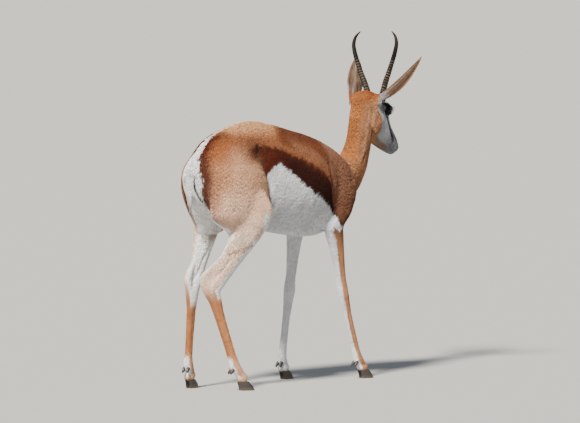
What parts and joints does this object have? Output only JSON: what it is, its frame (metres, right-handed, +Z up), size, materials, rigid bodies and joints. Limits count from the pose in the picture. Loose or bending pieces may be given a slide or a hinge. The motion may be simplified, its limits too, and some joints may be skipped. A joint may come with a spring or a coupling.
{
  "type": "springbok",
  "caption": "Adult springbok ewe standing with an arched back, hind feet set back and head raised and turned a little to its left; a still, life-size figure.",
  "frame": {"origin": "on the ground under the middle of the whole figure's bounding box", "axes": "+X the way the trunk faces, +Y the animal's left, +Z up"},
  "size_m": [0.9522, 0.2874, 1.0431],
  "materials": {
    "coat_fawn": "short dense hair, cinnamon fawn, with a chestnut flank band and white underparts in the finished model",
    "coat_white": "white hair of the tail",
    "horn_sheath": "ringed black-brown horn with a dull shine",
    "hoof_horn": "dull black hoof",
    "eye_dark": "wet black-brown eye"
  },
  "bodies": {
    "root": {"trunk": "coat_fawn", "neck": "coat_fawn", "head": "coat_fawn", "ear_left": "coat_fawn", "ear_right": "coat_fawn", "tail": "coat_white", "eye_left": "eye_dark", "eye_right": "eye_dark", "horn_left": "horn_sheath", "horn_right": "horn_sheath", "fore_leg_left": "coat_fawn", "fore_cannon_left": "coat_fawn", "fore_foot_left": "coat_fawn", "fore_leg_right": "coat_fawn", "fore_cannon_right": "coat_fawn", "fore_foot_right": "coat_fawn", "hind_leg_left": "coat_fawn", "hind_cannon_left": "coat_fawn", "hind_foot_left": "coat_fawn", "hind_leg_right": "coat_fawn", "hind_cannon_right": "coat_fawn", "hind_foot_right": "coat_fawn", "hoof_fore_left_inner": "hoof_horn", "dewclaw_fore_left_inner": "hoof_horn", "hoof_fore_left_outer": "hoof_horn", "dewclaw_fore_left_outer": "hoof_horn", "hoof_fore_right_inner": "hoof_horn", "dewclaw_fore_right_inner": "hoof_horn", "hoof_fore_right_outer": "hoof_horn", "dewclaw_fore_right_outer": "hoof_horn", "hoof_hind_left_inner": "hoof_horn", "dewclaw_hind_left_inner": "hoof_horn", "hoof_hind_left_outer": "hoof_horn", "dewclaw_hind_left_outer": "hoof_horn", "hoof_hind_right_inner": "hoof_horn", "dewclaw_hind_right_inner": "hoof_horn", "hoof_hind_right_outer": "hoof_horn", "dewclaw_hind_right_outer": "hoof_horn"}
  },
  "joints": []
}
